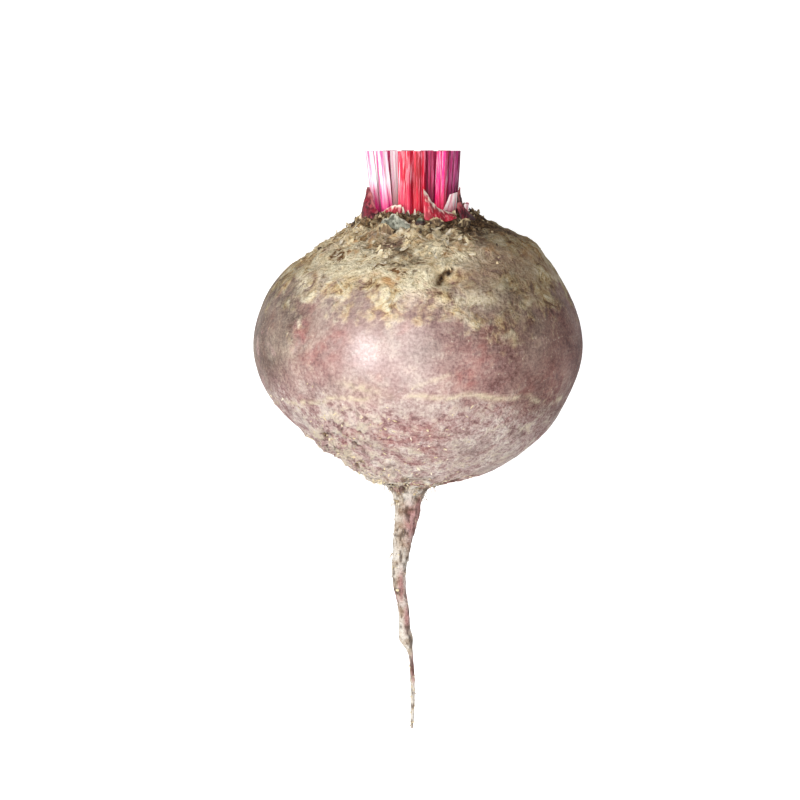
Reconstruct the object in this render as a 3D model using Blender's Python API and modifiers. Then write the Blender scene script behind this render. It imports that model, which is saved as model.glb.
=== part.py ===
"""A beetroot, pulled and trimmed: the swollen root with its crown and taproot, the cut leaf stalks,
and the broken and dried leaf bases round them.

It is built upright, growing along its own +Z with its front towards -Y, and an empty then lays it
on its side, crown end towards +Y, on the small flat spot of its widest part."""

import math
import random

import bmesh
import bpy
import numpy as np
from mathutils import Matrix, Vector
from mathutils.bvhtree import BVHTree

MM = 0.001
GAP = 0.35 * MM  # left between pieces that touch

# How it lies: the crown end is raised, and the table flattens a small spot.
CROWN_RAISED = math.radians(12)
GLOBE_CENTRE = Vector((-0.6, -0.3, 43.2)) * MM
SPOT_EDGE = 0.35 * MM  # height over which the edge of the flat spot is rounded

# The swollen root, measured from its widest circle.
GLOBE_RADIUS = 45 * MM
SHOULDER_HEIGHT = 36 * MM
FOOT_DEPTH = 39 * MM
SHOULDER_POWER = 2.0  # 2 is an ellipse
FOOT_POWER = 1.8  # below 2 runs to a blunt point
BELLY = 0.05  # how much fuller the side it lies on is, towards the foot
BELLY_COLATITUDE, BELLY_WIDTH = 120, 22  # degrees
CROWN_RISE = 1.9 * MM  # of the rim round the level place where the stalks stand
CROWN_RIM = (19, 4)  # degrees from the growth axis, and half width in degrees
SCAR_RELIEF, CORK_RELIEF, WRINKLE_RELIEF = 0.5 * MM, 0.3 * MM, 0.35 * MM
# Pits in the skin: colatitude, azimuth and half width in degrees, depth in millimetres.
PITS = ((56, -79, 4, 1.6), (33, -104, 4, 1.0), (57, -30, 3.5, 0.9), (48, 70, 4, 1.2))
SEGMENTS, RINGS = 60, 46
RING_CROWDING = 0.25  # draws the rings towards the crown and the foot

# The taproot: depth under the widest circle, sideways place and radius, in millimetres.
TAPROOT = (
    (30.0, -1.6, 5.5),
    (38.0, -2.3, 5.3),
    (41.0, -2.6, 4.2),
    (47.0, -3.0, 3.3),
    (55.5, -4.3, 2.5),
    (65.0, -5.2, 1.8),
    (74.5, -3.8, 1.5),
    (79.0, -3.6, 1.5),
    (83.0, -3.2, 1.9),
    (86.0, -2.2, 0.9),
    (93.0, -1.5, 0.65),
    (102.0, -1.3, 0.55),
    (111.0, -1.5, 0.35),
)
TAPROOT_DROOP = 18 * MM  # how far the tip has sunk towards the table
DROOP_POWER = 2.6  # the thick end stays stiff

# The leaf stalks, all trimmed by one straight cut.
CUT_HEIGHT = 53 * MM
STALK_SIDES = 18
STALK_LEVELS = (0, 0.08, 0.22, 0.45, 0.72, 1)
RIBS = 6
RIB_DEPTH = 0.09
GROOVE_DEPTH = 0.4

# Stalks seen from the front: foot and top as (sideways, depth), width and thickness, in millimetres.
FRONT_STALKS = (
    ((-10.9, -0.9), (-12.9, -0.9), 3.4, 2.6),
    ((-8.2, -5.2), (-9.9, -5.4), 3.5, 3.0),
    ((-5.6, -3.0), (-6.5, -3.2), 2.4, 2.2),
    ((-3.6, -8.9), (-3.6, -9.2), 3.5, 2.9),
    ((0.2, -8.1), (0.1, -8.4), 3.6, 3.0),
    ((3.3, -5.0), (3.5, -5.2), 2.9, 2.7),
    ((5.8, -7.0), (6.5, -7.2), 2.9, 2.7),
    ((8.8, -2.4), (9.7, -2.5), 3.1, 2.9),
)
# The same behind, and the young ones in the middle, spaced round two rings.
BACK_AZIMUTHS = (18, 47, 76, 105, 134, 160)
BACK_RADIUS = 9.6
BACK_WIDTH = 3.4
HEART_AZIMUTHS = (-60, 60, 180)
HEART_RADIUS = 2.3
HEART_WIDTH = 2.0
OUTWARD_LEAN = 1.1  # millimetres from foot to top

# Dried and broken leaf bases round the rim of the crown: name, azimuth and span in degrees, distance
# of the foot from the axis, outward lean, and the heights of the torn edge from one side to the
# other, in millimetres, with the material.
LEAF_BASES = (
    ("sheath_left", -157, 34, 15.8, -1.5, (0.8, 3.2, 10.5, 3.4, 1.0), "maroon_husk"),
    ("sheath_right", -10, 30, 12.0, -0.4, (5.2, 7.2, 6.2, 4.4, 2.2), "maroon_husk"),
    ("sheath_edge", -39, 22, 17.4, -1.6, (2.6, 4.0, 3.4, 1.8, 0.6), "maroon_husk"),
    ("base_front", -69, 32, 17.2, -2.2, (8.4, 4.6, 3.0, 2.0, 1.0), "pink_husk"),
    ("base_left", -128, 34, 12.4, 0.3, (0.8, 1.8, 3.3, 3.1), "pink_husk"),
    ("scale_front", -110, 26, 18.8, -1.4, (2.0, 1.4, 3.3, 2.5, 2.0, 0.7), "grey_husk"),
    ("scale_low", -114, 12, 20.9, 0.5, (0.8, 2.1, 0.9), "brown_husk"),
    ("scale_right", -75, 12, 18.6, 0.6, (0.9, 1.8, 0.8), "brown_husk"),
    ("scale_edge", -53, 12, 20.2, 0.6, (0.8, 1.7, 0.9), "brown_husk"),
)
BACK_SCALES = 7
BACK_SCALE_RADIUS = 13.4
HUSK_THICKNESS = 0.8 * MM
GRID_COLUMNS, GRID_ROWS = 8, 4

# The short broken stalks: foot, top, width, thickness and height in millimetres, and how much of
# the width is left at the top.
STUBS = (
    ("stub_right", (7.9, -8.8), (9.5, -8.8), 5.0, 1.8, 5.9, 0.5),
    ("stub_small", (12.3, -7.4), (13.1, -7.6), 1.8, 1.6, 3.2, 0.8),
)
BUD = ((0.5, -18.1), 1.6, 2.6)  # place, radius and length of the side bud, in millimetres

COLOURS = {
    "skin": (0.42, 0.25, 0.24, 0.55),
    "stalk": (0.62, 0.03, 0.14, 0.35),
    "young_stalk": (0.55, 0.05, 0.22, 0.35),
    "maroon_husk": (0.12, 0.02, 0.03, 0.7),
    "brown_husk": (0.14, 0.08, 0.05, 0.9),
    "pink_husk": (0.55, 0.16, 0.18, 0.6),
    "grey_husk": (0.38, 0.36, 0.28, 0.9),
    "torn_flesh": (0.8, 0.55, 0.55, 0.5),
    "bud": (0.12, 0.1, 0.07, 0.8),
}


def clear_scene():
    for obj in list(bpy.data.objects):
        bpy.data.objects.remove(obj)


def make_materials():
    made = {}
    for name, (*colour, roughness) in COLOURS.items():
        material = bpy.data.materials.new(name)
        material.use_nodes = True
        shader = material.node_tree.nodes["Principled BSDF"]
        shader.inputs["Base Color"].default_value = (*colour, 1)
        shader.inputs["Roughness"].default_value = roughness
        shader.inputs["Metallic"].default_value = 0
        made[name] = material
    return made


def laid_down():
    """The matrix that takes the upright beetroot to where it lies on the table."""
    turn = Matrix.Rotation(CROWN_RAISED - math.pi / 2, 4, "X")
    return Matrix.Translation(GLOBE_CENTRE) @ turn


def swell(angle, middle, width):
    """1 at the middle angle and falling away smoothly over the width, both in degrees."""
    return np.exp(-(((np.degrees(angle) - middle) / width) ** 2))


def globe_surface(colatitude, azimuth):
    """Points of the swollen root. A profile of two superellipses is turned about the axis. Its right
    side is fuller at the shoulder and at the foot, three low lobes run round it, and a low rim
    with leaf scars runs round the crown."""
    upper = colatitude < math.pi / 2
    power = 2 / np.where(upper, SHOULDER_POWER, FOOT_POWER)
    reach = np.where(upper, SHOULDER_HEIGHT, FOOT_DEPTH)
    cosine, sine = np.cos(colatitude), np.sin(colatitude).clip(0)
    side = np.cos(azimuth)
    lean = 0.12 * side * swell(colatitude, 34, 16) + 0.1 * side * swell(colatitude, 142, 18)
    narrowing = -0.04 * swell(colatitude, 140, 12)
    belly = BELLY * np.sin(azimuth).clip(0) ** 2 * swell(colatitude, BELLY_COLATITUDE, BELLY_WIDTH)
    lobes = 0.012 * np.cos(3 * azimuth - 1.6) + 0.007 * np.cos(5 * azimuth + 1.5)
    radius = GLOBE_RADIUS * sine**power * (1 + lean + narrowing + belly + lobes * sine**2)
    height = reach * np.sign(cosine) * np.abs(cosine) ** power
    raised = relief(colatitude, azimuth)
    radius = radius + raised * sine
    height = height + CROWN_RISE * swell(colatitude, *CROWN_RIM) + raised * cosine
    return np.stack((radius * side, radius * np.sin(azimuth), height), axis=-1)


def relief(colatitude, azimuth):
    """How far the skin stands out: old leaf scars and cork round the crown, wrinkles round the foot,
    and the pits."""
    scars = np.cos(11 * azimuth + 9 * colatitude) * swell(colatitude, 27, 7)
    cork = np.sin(21 * colatitude + 1.5 * np.sin(3 * azimuth)) * swell(colatitude, 42, 11)
    wrinkles = np.cos(9 * azimuth + 20 * colatitude) * swell(colatitude, 156, 8)
    height = SCAR_RELIEF * scars + CORK_RELIEF * cork + WRINKLE_RELIEF * wrinkles
    for pit_colatitude, pit_azimuth, width, depth in PITS:
        across = np.degrees(np.arctan2(np.sin(azimuth - math.radians(pit_azimuth)),
                                       np.cos(azimuth - math.radians(pit_azimuth))))
        along = np.degrees(colatitude) - pit_colatitude
        near = (across * np.sin(colatitude)) ** 2 + along**2
        height = height - depth * MM * np.exp(-near / width**2)
    return height


def flattened(points):
    """The points with all that would sink into the table pressed flat, and the edge rounded."""
    matrix = np.array(laid_down())
    world = points @ matrix[:3, :3].T + matrix[:3, 3]
    height = world[:, 2]
    eased = (height + SPOT_EDGE) ** 2 / (4 * SPOT_EDGE)
    world[:, 2] = np.where(height > SPOT_EDGE, height, np.where(height < -SPOT_EDGE, 0, eased))
    return (world - matrix[:3, 3]) @ matrix[:3, :3]


def finish_object(name, mesh, material, sharp_angle=40):
    obj = bpy.data.objects.new(name, mesh)
    bpy.context.scene.collection.objects.link(obj)
    obj.data.materials.clear()
    obj.data.materials.append(material)
    obj.data.shade_smooth()
    obj.data.set_sharp_from_angle(angle=math.radians(sharp_angle))
    return obj


def make_globe():
    """A UV sphere whose every vertex is moved onto the globe's surface."""
    shape = bmesh.new()
    bmesh.ops.create_uvsphere(shape, u_segments=SEGMENTS, v_segments=RINGS, radius=1)
    mesh = bpy.data.meshes.new("globe")
    shape.to_mesh(mesh)
    shape.free()
    unit = np.empty(len(mesh.vertices) * 3)
    mesh.vertices.foreach_get("co", unit)
    x, y, z = unit.reshape(-1, 3).T
    even = np.arccos(z.clip(-1, 1))
    colatitude = even - RING_CROWDING * np.sin(2 * even)
    points = flattened(globe_surface(colatitude, np.arctan2(y, x)))
    mesh.vertices.foreach_set("co", points.ravel())
    mesh.update()
    return mesh


def make_taproot():
    """A tapering tube along a smooth curve through the named points, as a closed mesh."""
    curve = bpy.data.curves.new("taproot", "CURVE")
    curve.dimensions = "3D"
    curve.bevel_depth = 1 * MM
    curve.bevel_resolution = 4
    curve.use_fill_caps = True
    curve.resolution_u = 4
    spline = curve.splines.new("BEZIER")
    spline.bezier_points.add(len(TAPROOT) - 1)
    top, tip = FOOT_DEPTH, TAPROOT[-1][0] * MM
    for point, (depth, sideways, radius) in zip(spline.bezier_points, TAPROOT):
        share = max(0, (depth * MM - top) / (tip - top))
        point.co = (sideways * MM, TAPROOT_DROOP * share**DROOP_POWER, -depth * MM)
        point.radius = radius
        point.handle_left_type = point.handle_right_type = "AUTO"
    tube = bpy.data.objects.new("taproot", curve)
    bpy.context.scene.collection.objects.link(tube)
    bpy.context.view_layer.update()
    mesh = bpy.data.meshes.new_from_object(tube.evaluated_get(bpy.context.evaluated_depsgraph_get()))
    bpy.data.objects.remove(tube)
    shape = bmesh.new()
    shape.from_mesh(mesh)
    bmesh.ops.remove_doubles(shape, verts=shape.verts, dist=0.01 * MM)
    bmesh.ops.recalc_face_normals(shape, faces=shape.faces)
    shape.to_mesh(mesh)
    shape.free()
    return mesh


def make_root(material):
    """The globe with its taproot grown on, as one body."""
    root = finish_object("root", make_globe(), material)
    taproot = finish_object("taproot", make_taproot(), material)
    union = root.modifiers.new("grown_together", "BOOLEAN")
    union.operation = "UNION"
    union.object = taproot
    bpy.context.view_layer.update()
    graph = bpy.context.evaluated_depsgraph_get()
    joined = bpy.data.meshes.new_from_object(root.evaluated_get(graph))
    root.modifiers.clear()
    root.data = joined
    bpy.data.objects.remove(taproot)
    return root


class Crown:
    """The top of the root, which the stalks and leaf bases stand on."""

    def __init__(self, root):
        self.tree = BVHTree.FromObject(root, bpy.context.evaluated_depsgraph_get())

    def height(self, x, y):
        above = Vector((x, y, 2 * SHOULDER_HEIGHT))
        return self.tree.ray_cast(above, Vector((0, 0, -1)))[0].z


def loft(name, rings, material):
    """A closed solid through rings of points, with a cap on each end."""
    shape = bmesh.new()
    layers = [[shape.verts.new(point) for point in ring] for ring in rings]
    for lower, upper in zip(layers, layers[1:]):
        for i, start in enumerate(lower):
            j = (i + 1) % len(lower)
            shape.faces.new((start, lower[j], upper[j], upper[i]))
    shape.faces.new(layers[0][::-1])
    shape.faces.new(layers[-1])
    bmesh.ops.recalc_face_normals(shape, faces=shape.faces)
    mesh = bpy.data.meshes.new(name)
    shape.to_mesh(mesh)
    shape.free()
    return finish_object(name, mesh, material)


def stalk_section(width, thickness):
    """Outline of a leaf stalk, as (across, outward) pairs: a ribbed oval with a groove on the side
    that faces the middle of the crown."""
    outline = []
    for i in range(STALK_SIDES):
        angle = 2 * math.pi * i / STALK_SIDES
        rib = 1 + RIB_DEPTH * math.cos(RIBS * (angle - math.pi / 2))
        inward = math.degrees(angle) - 270
        groove = 1 - GROOVE_DEPTH * math.exp(-((inward / 35) ** 2))
        across = width / 2 * rib * math.cos(angle)
        outline.append((across, thickness / 2 * rib * groove * math.sin(angle)))
    return outline


def make_stalk(name, crown, foot, top, width, thickness, material, height=None, taper=1):
    """A leaf stalk from its foot on the crown to the cut, or to its own broken height."""
    foot, top = Vector(foot) * MM, Vector(top) * MM
    outward = foot.normalized()
    across = Vector((-outward.y, outward.x))
    rings = []
    for share in STALK_LEVELS:
        middle = foot.lerp(top, share)
        flare = (1 + 0.06 * math.exp(-share / 0.1)) * (1 + (taper - 1) * share)
        ring = []
        for u, v in stalk_section(width * MM, thickness * MM):
            x, y = middle + across * u * flare + outward * v * flare
            standing = crown.height(x, y) + GAP
            end = CUT_HEIGHT if height is None else standing + height * MM + 0.2 * u
            ring.append((x, y, standing + (end - standing) * share))
        rings.append(ring)
    return loft(name, rings, material)


def make_stalks(crown, materials):
    made = []
    places = [(*row, "stalk") for row in FRONT_STALKS]
    for azimuths, radius, width, finish in (
        (BACK_AZIMUTHS, BACK_RADIUS, BACK_WIDTH, "stalk"),
        (HEART_AZIMUTHS, HEART_RADIUS, HEART_WIDTH, "young_stalk"),
    ):
        for azimuth in azimuths:
            out = Vector((math.cos(math.radians(azimuth)), math.sin(math.radians(azimuth))))
            foot, top = out * radius, out * (radius + OUTWARD_LEAN)
            places.append((foot, top, width, width * 0.85, finish))
    for number, (foot, top, width, thickness, finish) in enumerate(places, 1):
        name = f"stalk_{number:02d}"
        made.append(make_stalk(name, crown, foot, top, width, thickness, materials[finish]))
    for name, foot, top, width, thickness, height, taper in STUBS:
        finish = materials["torn_flesh"]
        made.append(make_stalk(name, crown, foot, top, width, thickness, finish, height, taper))
    return made


def make_leaf_base(name, crown, azimuth, span, radius, lean, edge, material):
    """A dried leaf base: a strip of shell standing round the rim of the crown, with a torn edge."""
    shape = bmesh.new()
    bmesh.ops.create_grid(shape, x_segments=GRID_COLUMNS, y_segments=GRID_ROWS, size=1)
    places = np.linspace(-1, 1, len(edge))
    for vertex in shape.verts:
        across, up = vertex.co.x, (vertex.co.y + 1) / 2
        angle = math.radians(azimuth + across * span / 2)
        foot = radius * MM
        distance = foot + lean * MM * up * up
        inner = foot - HUSK_THICKNESS
        standing = crown.height(inner * math.cos(angle), inner * math.sin(angle)) + 2 * GAP
        rise = float(np.interp(across, places, edge)) * MM * up
        vertex.co = (distance * math.cos(angle), distance * math.sin(angle), standing + rise)
    mesh = bpy.data.meshes.new(name)
    shape.to_mesh(mesh)
    shape.free()
    husk = finish_object(name, mesh, material)
    wall = husk.modifiers.new("wall", "SOLIDIFY")
    wall.thickness = HUSK_THICKNESS
    wall.offset = 0
    wall.use_even_offset = True
    return husk


def make_leaf_bases(crown, materials):
    made = []
    for name, azimuth, span, radius, lean, edge, finish in LEAF_BASES:
        material = materials[finish]
        made.append(make_leaf_base(name, crown, azimuth, span, radius, lean, edge, material))
    draw = random.Random(7)
    for number in range(BACK_SCALES):
        azimuth = 22 + number * 136 / (BACK_SCALES - 1)
        edge = [draw.uniform(1.2, 4.5) for _ in range(4)]
        span = draw.uniform(14, 19)
        radius = BACK_SCALE_RADIUS + draw.uniform(-0.3, 0.6)
        finish = materials[("brown_husk", "maroon_husk", "pink_husk")[number % 3]]
        name = f"scale_back_{number + 1}"
        made.append(make_leaf_base(name, crown, azimuth, span, radius, 0.5, edge, finish))
    return made


def make_bud(crown, material):
    """The side bud under the front stalks: a ribbed egg with a drawn-out point."""
    (x, y), radius, length = (Vector(BUD[0]) * MM, BUD[1] * MM, BUD[2] * MM)
    shape = bmesh.new()
    bmesh.ops.create_uvsphere(shape, u_segments=12, v_segments=8, radius=1)
    lowest = crown.height(x, y - radius) + GAP
    for vertex in shape.verts:
        angle = math.atan2(vertex.co.y, vertex.co.x)
        rib = 1 + 0.08 * math.cos(6 * angle)
        taper = 1 - 0.45 * max(0, vertex.co.z)
        vertex.co = (
            x + radius * 0.8 * rib * taper * vertex.co.x,
            y + radius * 0.5 * rib * taper * vertex.co.y,
            lowest + length / 2 * (vertex.co.z + 1),
        )
    for vertex in shape.verts:
        vertex.co.z = max(vertex.co.z, crown.height(vertex.co.x, vertex.co.y) + GAP)
    mesh = bpy.data.meshes.new("bud")
    shape.to_mesh(mesh)
    shape.free()
    return finish_object("bud", mesh, material)


def main():
    clear_scene()
    collection = bpy.data.collections.new("beetroot")
    bpy.context.scene.collection.children.link(collection)
    materials = make_materials()
    root = make_root(materials["skin"])
    crown = Crown(root)
    pieces = [root, *make_stalks(crown, materials), *make_leaf_bases(crown, materials)]
    pieces.append(make_bud(crown, materials["bud"]))
    lying = bpy.data.objects.new("lying", None)
    lying.matrix_world = laid_down()
    collection.objects.link(lying)
    for piece in pieces:
        piece.parent = lying
        bpy.context.scene.collection.objects.unlink(piece)
        collection.objects.link(piece)


main()
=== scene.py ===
import math
import random

import bpy
import numpy as np
from mathutils import Matrix, Vector


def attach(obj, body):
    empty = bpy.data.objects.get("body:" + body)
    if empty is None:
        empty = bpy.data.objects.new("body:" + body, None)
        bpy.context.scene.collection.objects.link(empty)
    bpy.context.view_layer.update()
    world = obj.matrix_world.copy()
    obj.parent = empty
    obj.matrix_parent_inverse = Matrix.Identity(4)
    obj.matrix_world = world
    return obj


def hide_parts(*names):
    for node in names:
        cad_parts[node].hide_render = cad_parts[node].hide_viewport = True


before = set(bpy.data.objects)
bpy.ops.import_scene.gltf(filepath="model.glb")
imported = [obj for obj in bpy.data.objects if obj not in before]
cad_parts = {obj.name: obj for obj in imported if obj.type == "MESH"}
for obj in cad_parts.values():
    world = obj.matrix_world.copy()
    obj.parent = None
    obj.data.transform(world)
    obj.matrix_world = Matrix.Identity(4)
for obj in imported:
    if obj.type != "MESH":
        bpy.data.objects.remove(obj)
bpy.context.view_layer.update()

# Camera. The beetroot lies on its side, the crown end a little raised. The camera looks down on it, so
# it stands upright in the picture, seen from a little above its crown through a long lens. Its pieces
# are worked out upright, in millimetres, growing along +Z with the front towards -Y, and then laid down.
MM = 0.001
CROWN_RAISED = math.radians(12)
GLOBE_CENTRE = (-0.6, -0.3, 43.2)
SEEN_FROM_ABOVE = math.radians(6)
PICTURE_WIDTH = 219.5  # millimetres across the picture at the middle of the root
PICTURE_MIDDLE = (-4.9, -15.1)  # what the middle of the picture shows, sideways and up
LENS, SENSOR = 120, 36


def lying_down():
    """The 4 by 4 matrix, in metres, that takes the upright beetroot to where it lies."""
    turn = Matrix.Rotation(CROWN_RAISED - math.pi / 2, 4, "X")
    return Matrix.Translation(Vector(GLOBE_CENTRE) * MM) @ turn


LYING = lying_down()
camera = bpy.data.objects.new("camera", bpy.data.cameras.new("camera"))
camera.data.lens = LENS
camera.data.sensor_width = SENSOR
camera.data.clip_start = 0.01
distance = PICTURE_WIDTH * LENS / SENSOR
aim = Matrix.Translation(Vector((PICTURE_MIDDLE[0], 0, PICTURE_MIDDLE[1])) * MM)
turn = Matrix.Rotation(math.pi / 2 - SEEN_FROM_ABOVE, 4, "X")
camera.matrix_world = LYING @ aim @ turn @ Matrix.Translation((0, 0, distance * MM))
bpy.context.scene.collection.objects.link(camera)
bpy.context.scene.camera = camera
bpy.context.scene.view_settings.view_transform = "Standard"


# Studio: a pale table, a lamp to the left that gives the skin its highlight, a tall soft one in front,
# a weak one on the taproot's side and faint even light around. The table glows for the camera alone.
TABLE_REACH, TABLE_GREY, TABLE_GLOW = 3.0, 0.62, 0.7


def add_lamp(name, direction, size, power, distance=0.8):
    """A rectangular lamp aimed at the root, standing parallel to the growth axis. The direction is
    right, up and towards the camera."""
    lamp = bpy.data.objects.new(name, bpy.data.lights.new(name, "AREA"))
    lamp.data.shape = "RECTANGLE"
    lamp.data.size, lamp.data.size_y = size
    lamp.data.energy = power
    right, up, forward = Vector(direction).normalized()
    away = LYING.to_3x3() @ Vector((right, -forward, up))
    sideways = (LYING.to_3x3() @ Vector((0, 0, 1))).cross(away).normalized()
    facing = Matrix((sideways, away.cross(sideways), away)).transposed().to_4x4()
    lamp.matrix_world = Matrix.Translation(LYING.translation + away * distance) @ facing
    bpy.context.scene.collection.objects.link(lamp)


add_lamp("lamp_left", (-0.66, -0.02, 0.74), (0.23, 0.47), 4.2)
add_lamp("lamp_front", (-0.03, -0.04, 1.0), (0.6, 1.4), 9.6, 0.9)
add_lamp("lamp_low", (0.15, -0.8, 0.6), (0.6, 0.5), 1.8)
world = bpy.data.worlds.new("surrounding")
world.use_nodes = True
background = world.node_tree.nodes["Background"]
background.inputs["Color"].default_value = (0.95, 0.97, 1, 1)
background.inputs["Strength"].default_value = 0.2
bpy.context.scene.world = world


def new_material(name, roughness, **settings):
    """A material with a Principled shader. Returns it with its node tree and the shader."""
    material = bpy.data.materials.new(name)
    material.use_nodes = True
    tree = material.node_tree
    shader = tree.nodes["Principled BSDF"]
    shader.inputs["Roughness"].default_value = roughness
    for socket, value in settings.items():
        shader.inputs[socket.replace("_", " ")].default_value = value
    return material, tree, shader


grey = (TABLE_GREY, TABLE_GREY, TABLE_GREY, 1)
white, tree, shader = new_material("table_white", 0.9, Base_Color=grey, Emission_Strength=TABLE_GLOW)
seen = tree.nodes.new("ShaderNodeLightPath").outputs["Is Camera Ray"]
tree.links.new(seen, shader.inputs["Emission Color"])
corners = np.array(((-1, -1, 0), (1, -1, 0), (1, 1, 0), (-1, 1, 0))) * TABLE_REACH
table_mesh = bpy.data.meshes.new("table")
table_mesh.from_pydata(corners.tolist(), [], [(0, 1, 2, 3)])
table_mesh.materials.append(white)
table = bpy.data.objects.new("table", table_mesh)
bpy.context.scene.collection.objects.link(table)


# The root: a swollen globe with a corky crown where the leaves grew and a long taproot, all one
# piece of solid flesh under a thin dusty skin. It rests on a small flattened spot.
GLOBE_RADIUS, SHOULDER_HEIGHT, FOOT_DEPTH = 45, 36, 39
SHOULDER_POWER, FOOT_POWER = 2.0, 1.8
BELLY, BELLY_COLATITUDE, BELLY_WIDTH = 0.05, 120, 22
CROWN_RISE, CROWN_RIM = 1.9, (19, 4)
SCAR_RELIEF, CORK_RELIEF, WRINKLE_RELIEF = 0.5, 0.3, 0.35
SPOT_EDGE = 0.35
PITS = ((56, -79, 4, 1.6), (33, -104, 4, 1.0), (57, -30, 3.5, 0.9), (48, 70, 4, 1.2))
# Depth under the widest circle, sideways place and radius of the taproot.
TAPROOT = np.array((
    (38.0, -2.3, 5.3), (41.0, -2.6, 4.2), (47.0, -3.0, 3.3), (55.5, -4.3, 2.5), (65.0, -5.2, 1.8),
    (74.5, -3.8, 1.5), (79.0, -3.6, 1.5), (83.0, -3.2, 1.9), (86.0, -2.2, 0.9), (93.0, -1.5, 0.65),
    (102.0, -1.3, 0.55), (111.0, -1.5, 0.35),
))
TAPROOT_DROOP, DROOP_POWER = 18, 2.6
AROUND = 320
GLOBE_LEVELS, TAPROOT_LEVELS = 210, 78
JOINT_COLATITUDE = 170.5  # where the globe runs over into the taproot


def swell(angle, middle, width):
    """1 at the middle angle, falling away smoothly over the width, both in degrees."""
    return np.exp(-(((np.degrees(angle) - middle) / width) ** 2))


def smooth_step(value, low, high):
    """0 below low and 1 above high, with a smooth run between them."""
    share = ((value - low) / (high - low)).clip(0, 1)
    return share * share * (3 - 2 * share)


def noise(points, size, seed=0):
    """Smooth noise from about -1 to 1. Space is cut in cubes of the given size, each corner has a
    slope in a random direction, and the slopes of the eight corners are blended."""
    slopes = np.random.default_rng(seed).normal(size=(256, 3))
    place = points / size
    cell = np.floor(place).astype(np.int64)
    inside = place - cell
    blend = inside**3 * (inside * (inside * 6 - 15) + 10)
    total = np.zeros(points.shape[:-1])
    for corner in np.ndindex(2, 2, 2):
        key = (cell + corner) @ np.array((73856093, 19349663, 83492791))
        slope = slopes[(key ^ (key >> 9)) % 256]
        weight = np.where(corner, blend, 1 - blend).prod(axis=-1)
        total += weight * (slope * (inside - corner)).sum(axis=-1)
    return total


def layered_noise(points, size, seed=0, layers=4, fade=0.55):
    """Noise with finer and weaker noise laid over it, each layer at half the size."""
    parts = [fade**i * noise(points, size / 2**i, seed + i) for i in range(layers)]
    return sum(parts)


def relief(colatitude, azimuth):
    """Old leaf scars and cork round the crown, wrinkles round the foot, and pits, as bumps that
    follow the two angles."""
    scars = np.cos(11 * azimuth + 9 * colatitude) * swell(colatitude, 27, 7)
    cork = np.sin(21 * colatitude + 1.5 * np.sin(3 * azimuth)) * swell(colatitude, 42, 11)
    wrinkles = np.cos(9 * azimuth + 20 * colatitude) * swell(colatitude, 156, 8)
    height = SCAR_RELIEF * scars + CORK_RELIEF * cork + WRINKLE_RELIEF * wrinkles
    for pit_colatitude, pit_azimuth, width, depth in PITS:
        turn = azimuth - math.radians(pit_azimuth)
        across = np.degrees(np.arctan2(np.sin(turn), np.cos(turn))) * np.sin(colatitude)
        along = np.degrees(colatitude) - pit_colatitude
        height = height - depth * np.exp(-(across**2 + along**2) / width**2)
    return height


def globe_surface(colatitude, azimuth):
    """The swollen root: two superellipses turned about the axis, fuller on the right at the shoulder
    and the foot and on the side it lies on, with low lobes, and a low rim round the crown."""
    upper = colatitude < math.pi / 2
    power = 2 / np.where(upper, SHOULDER_POWER, FOOT_POWER)
    reach = np.where(upper, SHOULDER_HEIGHT, FOOT_DEPTH)
    cosine, sine = np.cos(colatitude), np.sin(colatitude).clip(0)
    side = np.cos(azimuth)
    lean = 0.12 * side * swell(colatitude, 34, 16) + 0.1 * side * swell(colatitude, 142, 18)
    narrowing = -0.04 * swell(colatitude, 140, 12)
    belly = BELLY * np.sin(azimuth).clip(0) ** 2 * swell(colatitude, BELLY_COLATITUDE, BELLY_WIDTH)
    lobes = 0.012 * np.cos(3 * azimuth - 1.6) + 0.007 * np.cos(5 * azimuth + 1.5)
    radius = GLOBE_RADIUS * sine**power * (1 + lean + narrowing + belly + lobes * sine**2)
    height = reach * np.sign(cosine) * np.abs(cosine) ** power
    raised = relief(colatitude, azimuth)
    radius = radius + raised * sine
    height = height + CROWN_RISE * swell(colatitude, *CROWN_RIM) + raised * cosine
    return np.stack((radius * side, radius * np.sin(azimuth), height), axis=-1)


def crown_height(x, y):
    """Height of the crown over a place near the axis. The angle from the axis is guessed from the
    distance, and then corrected by how far from the axis the surface point for it turns out to be."""
    azimuth, wanted = np.arctan2(y, x), np.hypot(x, y) + 1e-6
    colatitude = np.arcsin((wanted / GLOBE_RADIUS).clip(0, 1))
    for _ in range(8):
        reached = globe_surface(colatitude, azimuth)
        colatitude = colatitude * wanted / np.hypot(reached[..., 0], reached[..., 1])
    return globe_surface(colatitude, azimuth)[..., 2]


def taproot_line(depth):
    """Sideways place, droop and radius of the taproot at a depth, on smooth curves through the named
    points: each stretch is blended from the slopes at its two ends."""
    stations = TAPROOT[:, 0]
    slopes = np.gradient(TAPROOT[:, 1:], stations, axis=0)
    i = np.searchsorted(stations, depth, side="right").clip(1, len(stations) - 1) - 1
    span = (stations[i + 1] - stations[i])[:, None]
    t = ((depth - stations[i]) / span[:, 0]).clip(0, 1)[:, None]
    start, end = TAPROOT[i, 1:], TAPROOT[i + 1, 1:]
    curve = (start * (2 * t**3 - 3 * t**2 + 1) + slopes[i] * span * (t**3 - 2 * t**2 + t)
             + end * (3 * t**2 - 2 * t**3) + slopes[i + 1] * span * (t**3 - t**2))
    share = ((depth - FOOT_DEPTH) / (stations[-1] - FOOT_DEPTH)).clip(0, 1)
    return curve[:, 0], TAPROOT_DROOP * share**DROOP_POWER, curve[:, 1].clip(0.3)


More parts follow.
